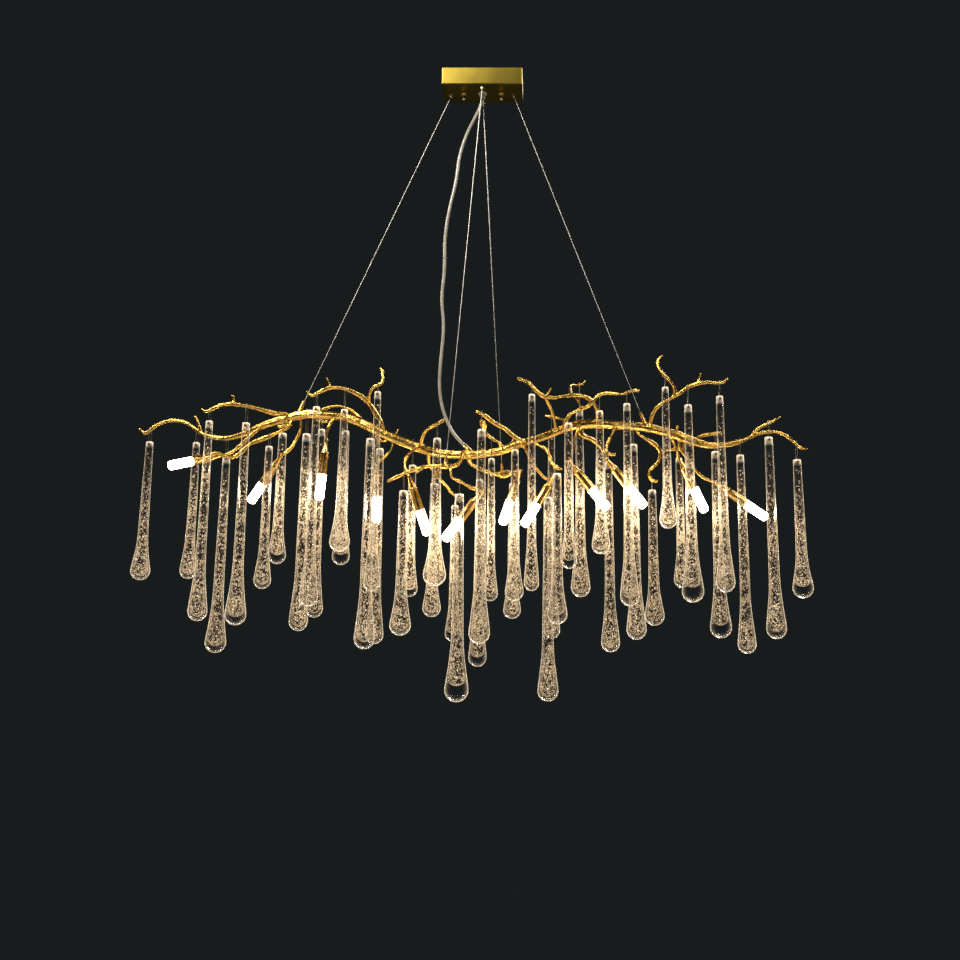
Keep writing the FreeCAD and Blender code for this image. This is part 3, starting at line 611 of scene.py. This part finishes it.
def bark_tree():
    """Lengthwise grooves and lumps: noise that turns quickly round a limb and slowly along it."""
    graph, given, end = new_tree("bark", ("Groove depth", "NodeSocketFloat", groove_depth),
                                 ("Ridge depth", "NodeSocketFloat", ridge_depth),
                                 ("Lump height", "NodeSocketFloat", lump_height),
                                 ("Swelling", "NodeSocketFloat", swelling),
                                 ("Proud limit", "NodeSocketFloat", proud_limit))
    normal = graph.node("GeometryNodeInputNormal", {}, {})
    place = graph.node("GeometryNodeInputPosition", {}, {})
    along = graph.vector_maths("DOT_PRODUCT", {0: place, 1: grain_drift}, "Value")
    groove = graph.noise(normal, groove_scale, 2.0, w=along)
    ridge = graph.noise(normal, ridge_scale, 2.0, w=along * ridge_drift)
    lump = graph.noise(place, lump_scale, 2.0)
    rise = ((groove - 0.5) * given["Groove depth"] * 2.0 + (ridge - 0.5) * given["Ridge depth"] * 2.0
            + (lump - 0.5) * given["Lump height"] * 2.0 + given["Swelling"])
    held = graph.node("ShaderNodeMath", {"operation": "MINIMUM"}, {0: rise, 1: given["Proud limit"]})
    offset = graph.vector_maths("SCALE", {0: normal, "Scale": held})
    swollen = graph.vector_maths("ADD", {0: place, 1: offset})
    above_low = graph.vector_maths("MAXIMUM", {0: swollen, 1: tuple(cad_box[0])})
    in_box = graph.vector_maths("MINIMUM", {0: above_low, 1: tuple(cad_box[1])})
    kept = given["Geometry"]
    stored = (("groove", "FLOAT", groove * 0.6 + ridge * 0.4), ("grain", "FLOAT_VECTOR", normal),
              ("along", "FLOAT", along))
    for label, kind, value in stored:
        kept = graph.node("GeometryNodeStoreNamedAttribute", {"data_type": kind, "domain": "POINT"},
                          {"Geometry": kept, "Name": label, "Value": value})
    moved = graph.node("GeometryNodeSetPosition", {}, {"Geometry": kept, "Position": in_box})
    graph.feed(end, graph.set_material(moved, gold_bark))
    return graph.tree


def setting_out_tree():
    """The same shape set on each point, its Z turned to the point's direction."""
    graph, given, end = new_tree("setting_out", ("Shape", "NodeSocketObject", None),
                                 ("Finish", "NodeSocketMaterial", None))
    direction = graph.node("GeometryNodeInputNamedAttribute", {"data_type": "FLOAT_VECTOR"},
                           {"Name": "direction"})
    turn = graph.node("FunctionNodeAlignRotationToVector", {"axis": "Z"}, {"Vector": direction})
    shape = graph.node("GeometryNodeObjectInfo", {}, {"Object": given["Shape"]}, "Geometry")
    copies = graph.node("GeometryNodeInstanceOnPoints", {},
                        {"Points": given["Geometry"], "Instance": shape, "Rotation": turn})
    whole = graph.node("GeometryNodeRealizeInstances", {}, {"Geometry": copies})
    graph.feed(end, graph.set_material(whole, given["Finish"]))
    return graph.tree


def seeds_tree():
    """Bubbles scattered through a closed shape, between its skin and its middle."""
    graph, given, end = new_tree("seeds",
                                 ("Seeds in a cubic metre", "NodeSocketFloat", seeds_in_a_cubic_metre),
                                 ("Radius", "NodeSocketFloat", seed_radius),
                                 ("Seed", "NodeSocketInt", 1))
    solid = graph.node("GeometryNodeMeshToVolume", {"resolution_mode": "VOXEL_SIZE"},
                       {"Mesh": given["Geometry"], "Voxel Size": seed_voxel,
                        "Interior Band Width": seed_band})
    spots = graph.node("GeometryNodeDistributePointsInVolume", {},
                       {"Volume": solid, "Density": given["Seeds in a cubic metre"],
                        "Seed": given["Seed"]})
    bubble = graph.node("GeometryNodeMeshIcoSphere", {}, {"Radius": given["Radius"], "Subdivisions": 1})
    size = graph.node("FunctionNodeRandomValue", {"data_type": "FLOAT"},
                      {2: seed_sizes[0], 3: seed_sizes[1], "Seed": given["Seed"]}, 1)
    copies = graph.node("GeometryNodeInstanceOnPoints", {},
                        {"Points": spots, "Instance": bubble, "Scale": size})
    whole = graph.node("GeometryNodeRealizeInstances", {}, {"Geometry": copies})
    round_ones = graph.node("GeometryNodeSetShadeSmooth", {}, {"Geometry": whole})
    graph.feed(end, graph.set_material(round_ones, glass_seed))
    return graph.tree


bark = bark_tree()
setting_out = setting_out_tree()
seeds = seeds_tree()


# Branch, twigs and arms as one gilded casting

def without_crumbs(mesh):
    """The mesh without small closed shells, such as pockets left inside a joint."""
    whole = bmesh.new()
    whole.from_mesh(mesh)
    left = set(whole.verts)
    crumbs = []
    while left:
        waiting = [left.pop()]
        group = list(waiting)
        while waiting:
            for edge in waiting.pop().link_edges:
                for other in edge.verts:
                    if other in left:
                        left.remove(other)
                        waiting.append(other)
                        group.append(other)
        if len(group) < least_limb_corners:
            crumbs += group
    bmesh.ops.delete(whole, geom=crumbs, context="VERTS")
    whole.to_mesh(mesh)
    whole.free()
    return mesh


def gilded_branch():
    """Branch, twigs and arms run together, with softened roots, then grained."""
    limbs = ("main_branch", "twigs", "lamp_arms")
    joined = bmesh.new()
    for limb in limbs:
        part = merged(limb)
        mesh = bpy.data.meshes.new(limb)
        part.to_mesh(mesh)
        part.free()
        joined.from_mesh(mesh)
    whole = bpy.data.meshes.new("limbs")
    joined.to_mesh(whole)
    joined.free()
    cast = baked("cast", whole, ("REMESH", {"mode": "VOXEL", "voxel_size": branch_voxel}))
    cast = without_crumbs(cast)
    grown = baked("grown", cast, ("SMOOTH", softening), ("NODES", {"node_group": bark}))
    grown.shade_smooth()
    piece("gilded_branch", grown, gold_bark, MAIN_BODY, "gilt", *limbs)


gilded_branch()


# Lamps

def rim_of(points, spread):
    """The middle and the square-on direction of the ring at the far end along a rough direction."""
    reach = points @ spread
    ring = points[reach > reach.max() - mouth_depth_read]
    centre = ring.mean(axis=0)
    across = np.linalg.svd(ring - centre, full_matrices=False)[2]
    square = across[2] if across[2] @ spread > 0 else -across[2]
    for side in across[:2]:
        share = (ring - centre) @ side
        centre = centre + side * (share.max() + share.min()) / 2
    return centre, square


def mouth_of(points):
    """The middle of a cup's mouth and the direction that it faces."""
    middle = points.mean(axis=0)
    spread = np.linalg.svd(points - middle, full_matrices=False)[2][0]
    reach = (points - middle) @ spread
    off_line = np.linalg.norm(points - middle - np.outer(reach, spread), axis=1)
    share = end_share_read * (reach.max() - reach.min())
    low_end = off_line[reach < reach.min() + share]
    high_end = off_line[reach > reach.max() - share]
    if low_end.max() > high_end.max():
        spread = -spread
    centre, square = rim_of(points, spread)
    return Vector(centre), Vector(square)


def set_out(name, shape, places, finish, slot, *replaced):
    """Copies of one shape on a list of places and directions, as one piece."""
    pattern = placed(name + "_pattern", shape)
    points = bpy.data.meshes.new(name + "_points")
    points.from_pydata([place for place, direction in places], [], [])
    directions = points.attributes.new("direction", "FLOAT_VECTOR", "POINT")
    for index, (place, direction) in enumerate(places):
        directions.data[index].vector = direction
    mesh = baked(name, points, ("NODES", {"node_group": setting_out, 1: pattern, 2: finish}))
    bpy.data.objects.remove(pattern)
    piece(name, smooth(mesh), finish, MAIN_BODY, slot, *replaced)


def holder_profile():
    """Ball, cone, beaded cup and open mouth, as radius and distance from the ball's middle."""
    ball = [(0, -1), (0.7, -0.72), (1, -0.1), (0.86, 0.6)]
    profile = [(radius * holder_ball, height * holder_ball) for radius, height in ball]
    profile += [cone_neck, cone_waist, (cone_end, cup_start - cup_step)]
    profile += [(cup_shoulder, cup_start - cup_bead), (cup_back, cup_start)]
    profile += [(cup_back, cup_start + cup_bead), (cup_foot, cup_start + cup_step)]
    profile += [(cup_middle, cup_start + cup_half)]
    profile += [(cup_mouth - lip_proud, holder_length - lip_start)]
    profile += [(cup_mouth, holder_length - lip_full), (cup_mouth, holder_length)]
    bore = cup_mouth - cup_wall
    floor = holder_length - cup_depth
    return profile + [(bore, holder_length), (bore, floor), (0, floor)]


def bulb_profile():
    """A capsule with a chamfered base in the cup and a flattened dome outside it."""
    base = bulb_gap - cup_depth
    dome_height = bulb_radius * bulb_dome_share
    profile = [(0, base), (bulb_radius - bulb_chamfer, base)]
    profile += [(bulb_radius, base + bulb_chamfer), (bulb_radius, 0)]
    for step in range(bulb_dome_steps):
        turn = step * math.pi / 2 / bulb_dome_steps
        height = bulb_length - dome_height + dome_height * math.sin(turn)
        profile.append((bulb_radius * math.cos(turn), height))
    return profile + [(0, bulb_length)]


def lamps():
    """Sets a cup and a lit capsule on every arm, and returns the mouths and directions of the cups."""
    mouths = [mouth_of(solid) for solid in solids_of("lamp_holders")]
    backs = [(mouth - direction * holder_length, direction) for mouth, direction in mouths]
    set_out("lamp_cups", lathe(holder_profile(), holder_sides), backs, gold_turned, "gilt",
            "lamp_holders")
    set_out("lit_capsules", lathe(bulb_profile(), bulb_sides), mouths, bulb_glass, "bulb_glass",
            "bulbs")
    return mouths


lamp_mouths = lamps()


# Wire bails

def wire_loop(solid):
    """A closed loop along a bail: arch over the limb, straight legs, and the bar through the glass."""
    low = solid.min(axis=0)
    high = solid.max(axis=0)
    centre_x = (low[0] + high[0]) / 2
    centre_y = (low[1] + high[1]) / 2
    half = (high[1] - low[1]) / 2 - bail_radius
    top = high[2] - bail_radius
    pin = low[2] + bail_radius
    line = []
    for step in range(bail_arch_steps + 1):
        angle = step * math.pi / bail_arch_steps
        line.append((half * math.cos(angle), top - half + half * math.sin(angle)))
    for side, start in ((-1, math.pi), (1, 1.5 * math.pi)):
        for step in range(bail_corner_steps + 1):
            angle = start + step * math.pi / 2 / bail_corner_steps
            line.append((side * (half - bail_corner) + bail_corner * math.cos(angle),
                         pin + bail_corner + bail_corner * math.sin(angle)))
    return [Vector((centre_x, centre_y + across, height)) for across, height in line]


def bails():
    """One wire loop for each bail."""
    curve = bpy.data.curves.new("bails", "CURVE")
    curve.dimensions = "3D"
    curve.bevel_depth = wire_shown
    curve.bevel_resolution = wire_sides
    for solid in solids_of("drop_bails"):
        loop = wire_loop(solid)
        spline = curve.splines.new("POLY")
        spline.points.add(len(loop) - 1)
        for spot, place in zip(spline.points, loop):
            spot.co = place[:] + (1.0,)
        spline.use_cyclic_u = True
    mesh = finished_mesh(placed("bails", curve))
    mesh.shade_smooth()
    piece("wire_bails", mesh, gold_wire, MAIN_BODY, "bail_wire", "drop_bails")


bails()


# Glass drops

def glass_profile(node):
    """Where a drop hangs, and its radius at even steps from its foot to its top."""
    joined = merged(node)
    points = np.array([corner.co[:] for corner in joined.verts])
    joined.free()
    low = points.min(axis=0)
    high = points.max(axis=0)
    middle = Vector(((low[0] + high[0]) / 2, (low[1] + high[1]) / 2, high[2]))
    radius = np.hypot(points[:, 0] - middle.x, points[:, 1] - middle.y)
    height = points[:, 2] - high[2]
    near_hole = abs(height + hole_below_top) < hole_radius + hole_margin
    step = np.round(height[~near_hole] / height_step).astype(int)
    widest = {}
    for key, wide in zip(step, radius[~near_hole]):
        widest[key] = max(widest.get(key, 0), wide)
    heights = np.array(sorted(widest)) * height_step
    radii = np.array([widest[key] for key in sorted(widest)])
    travelled = np.concatenate([[0], np.cumsum(np.hypot(np.diff(heights), np.diff(radii)))])
    whole = travelled[-1] / millimetre
    near_ends = np.array([1, 2, 3, whole - 1, whole - 2]) * millimetre
    wanted = np.sort(np.concatenate([np.linspace(0, travelled[-1], drop_rings), near_ends]))
    return middle, np.interp(wanted, travelled, radii), np.interp(wanted, travelled, heights)


def mark_glass(mesh, top, length):
    """Stores how far down its drop each corner is, and how near to the lit capsules, for the painted
    light on the glass.
    """
    places = np.zeros(len(mesh.vertices) * 3, dtype=np.float32)
    mesh.vertices.foreach_get("co", places)
    places = places.reshape(-1, 3)
    lit = np.zeros(len(places))
    for mouth, direction in lamp_mouths:
        along = np.clip((places - np.array(mouth)) @ np.array(direction), 0, bulb_length)
        gap = np.linalg.norm(places - np.array(mouth) - np.outer(along, np.array(direction)), axis=1)
        lit += np.exp(-np.maximum(gap - bulb_radius, 0) / lamp_glow_reach)
    lit = np.minimum(lit ** lamp_glow_power, lit_limit)
    for name, values in (("down", (top - places[:, 2]) / length), ("lit", lit)):
        stored = mesh.attributes.new(name, "FLOAT", "POINT")
        stored.data.foreach_set("value", values.astype(np.float32))


def core_profile(radii, heights, foot):
    """The cloud of bubbles in a drop: radius and height from its round foot up to its top."""
    inner = np.maximum(radii * core_share - core_inset, 0)
    low = heights[0] + foot
    rounding = np.interp(low + foot, heights, inner)
    turns = np.linspace(0, math.pi / 2, core_foot_steps)
    end_heights = low + rounding * (1 - np.cos(turns))
    end_radii = np.interp(end_heights, heights, inner) * np.sin(turns)
    above = (heights < -core_below_top) & (heights > end_heights[-1] + millimetre)
    profile = list(zip(end_radii, end_heights)) + list(zip(inner[above], heights[above]))
    return profile + [(0, profile[-1][1] + millimetre)]


def drilled(skin, hole):
    """The skin with its cross hole cut, and the faces of the hole numbered 1 for their own finish."""
    bore = bmesh.new()
    across = Matrix.Translation(hole) @ Matrix.Rotation(math.pi / 2, 4, "X")
    bmesh.ops.create_cone(bore, cap_ends=True, segments=hole_sides, radius1=hole_radius,
                          radius2=hole_radius, depth=drill_length, matrix=across)
    drill = bpy.data.meshes.new("drill")
    bore.to_mesh(drill)
    bore.free()
    cutter = placed("drill", drill)
    cut = baked("skin", skin,
                ("BOOLEAN", {"operation": "DIFFERENCE", "solver": "EXACT", "object": cutter}))
    bpy.data.objects.remove(cutter)
    for face in cut.polygons:
        away = face.center - hole
        in_bore = math.hypot(away.x, away.z) < hole_radius and abs(face.normal.y) < bore_slant
        face.material_index = 1 if in_bore else 0
    return cut


def seeded(core, number):
    """A core with single bubbles in it, their faces numbered 1 for their own finish."""
    bubbles = baked("bubbles", core.copy(), ("NODES", {"node_group": seeds, 3: number}))
    both = bmesh.new()
    both.from_mesh(core)
    core_faces = len(both.faces)
    both.from_mesh(bubbles)
    for index, face in enumerate(both.faces):
        face.material_index = 0 if index < core_faces else 1
        face.smooth = True
    mesh = bpy.data.meshes.new("seeded")
    both.to_mesh(mesh)
    both.free()
    return mesh


def glass_drop(node, body, number):
    """A drop: its drilled skin, and the seeded core inside it."""
    middle, radii, heights = glass_profile(node)
    radii[0] = 0
    radii[-1] = 0

    def wave(angle, height):
        """How far the glass stands out from a true round, nothing near its top."""
        across = math.cos(angle) * wave_across + number
        spot = Vector((across, math.sin(angle) * wave_across, height * wave_along))
        fade = min(1, max(0, (-height - wave_start) / wave_fade))
        return noise.noise(spot) * wave_height * fade

    skin = lathe(list(zip(radii, heights)), drop_sides, wave)
    skin.transform(Matrix.Translation(middle))
    skin = drilled(skin, middle - Vector((0, 0, hole_below_top)))
    mark_glass(skin, middle.z, -heights[0])
    piece("drop_skin_%02d" % number, smooth(skin, glass_smooth_angle), [glass_skin, glass_bore], body,
          "drop_glass", node)

    foot = clear_feet.get(number, clear_foot) * millimetre
    core = lathe(core_profile(radii, heights, foot), core_sides, wave)
    core.transform(Matrix.Translation(middle))
    cloud = seeded(core, number)
    mark_glass(cloud, middle.z, -heights[0])
    piece("drop_seeds_%02d" % number, cloud, [glass_core, glass_seed], body, "drop_glass")


for node in sorted(nodes):
    if node.startswith("glass_drop_"):
        glass_drop(node, "drop_" + node[-2:], int(node[-2:]))


# Cord and cables

cord_route = [
    (1, 0, -41), (-3, -1, -62), (-14, -4, -88), (-30, -7, -126), (-43, -9, -174), (-47, -10, -225),
    (-60, -10, -284), (-67, -10, -344), (-65, -10, -404), (-71, -10, -460), (-64, -10, -515),
    (-69, -10, -574), (-72, -8, -627), (-66, -5, -668), (-52, -2, -704), (-35, 0, -727), (-25, 0, -737),
]
cable_runs = {
    "left": ((-60, 0, -40.5), (-319.5, 4.4, -660.6)),
    "right": ((60, 0, -40.5), (295.4, 2.4, -683.2)),
    "front": ((0, -25, -40.5), (-53.3, -49.9, -780.0)),
    "rear": ((0, 25, -40.5), (41.5, 49.7, -766.0)),
}


def hung_line(name, route, diameter, finish):
    """A smooth line through the air, given by its control points in millimetres."""
    curve = bpy.data.curves.new(name, "CURVE")
    curve.dimensions = "3D"
    curve.bevel_depth = diameter / 2
    curve.bevel_resolution = line_sides
    curve.resolution_u = line_steps
    curve.use_fill_caps = True
    spline = curve.splines.new("NURBS")
    spline.points.add(len(route) - 1)
    for spot, place in zip(spline.points, route):
        spot.co = tuple(value * millimetre for value in place) + (1.0,)
    spline.order_u = 3
    spline.use_endpoint_u = True
    curve.materials.append(finish)
    line = placed(name, curve)
    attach(line, MAIN_BODY)
    return line


cord = hung_line("hanging_cord", cord_route, cord_diameter, sheath)
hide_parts("power_cord")
for place, (start, end) in cable_runs.items():
    middle = tuple((low + high) / 2 for low, high in zip(start, end))
    cable = hung_line("cable_" + place, [start, middle, end], cable_diameter, cable_steel)
    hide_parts("suspension_cables")


# Fittings

dressed("canopy", gold_satin, "canopy_gold")
dressed("cap_nuts", gold_turned, "gilt")
dressed("cable_grips", grip_brass, "grip_steel")
dressed("branch_anchors", gold_turned, "gilt")
dressed("cord_gland", block_plastic, "block_plastic")
dressed("terminal_block", block_plastic, "block_plastic")
dressed("ceiling_bracket", zinc, "bracket_steel")


# Floor, light and camera

def studio_floor():
    """A plain pale floor, well below the lowest drop."""
    mesh = bpy.data.meshes.new("floor")
    corners = [(side * floor_half, ahead * floor_half, -floor_depth)
               for side, ahead in ((-1, -1), (1, -1), (1, 1), (-1, 1))]
    mesh.from_pydata(corners, [], [(0, 1, 2, 3)])
    pale = Finish("pale_floor", (0.62, 0.61, 0.59), 0.8)
    mesh.materials.append(pale.material)
    floor = placed("floor", mesh)


def softbox(name, place, target, width, height, power, colour):
    """A soft light that faces a target."""
    light = bpy.data.lights.new(name, "AREA")
    light.shape = "RECTANGLE"
    light.size = width
    light.size_y = height
    light.energy = power
    light.color = colour
    lamp = placed(name, light)
    lamp.location = place
    lamp.rotation_euler = (Vector(target) - Vector(place)).to_track_quat("-Z", "Y").to_euler()


def dark_room():
    """Charcoal all round for what is seen and seen through, with a soft grey for the light itself."""
    world = bpy.data.worlds.new("room")
    bpy.context.scene.world = world
    world.use_nodes = True
    graph = Graph(world.node_tree)
    background = world.node_tree.nodes["Background"]
    rays = world.node_tree.nodes.new("ShaderNodeLightPath")
    seen = (Value(graph, rays.outputs["Is Camera Ray"]) + Value(graph, rays.outputs["Is Glossy Ray"])
            + Value(graph, rays.outputs["Is Transmission Ray"]))
    share = seen.between(0.0, 1.0)
    tone = graph.node("ShaderNodeMix", {"data_type": "RGBA"},
                      {"Factor": share, 6: soft_grey, 7: charcoal}, 2)
    graph.feed(background.inputs["Color"], tone)


studio_floor()
dark_room()
branch_middle = (0.0, 0.0, -0.75)
softbox("key", (-1.35, -2.0, 1.45), branch_middle, 1.8, 0.8, 125, (1.0, 0.93, 0.80))
softbox("fill", (1.7, -1.5, 1.2), branch_middle, 1.0, 0.8, 32, (1.0, 0.92, 0.80))
softbox("rear", (1.5, 1.9, 1.3), branch_middle, 1.4, 0.8, 34, (1.0, 0.93, 0.84))
softbox("side", (-2.2, 0.2, 0.6), branch_middle, 0.8, 0.8, 16, (1.0, 0.93, 0.84))

camera_data = bpy.data.cameras.new("camera")
camera_data.lens = camera_lens
camera_data.sensor_width = camera_sensor
camera_data.shift_x = camera_shift
camera = placed("camera", camera_data)
camera.location = camera_place
camera.rotation_euler = (math.radians(90 + camera_pitch), 0, 0)
bpy.context.scene.camera = camera
bpy.context.scene.view_settings.view_transform = "Standard"
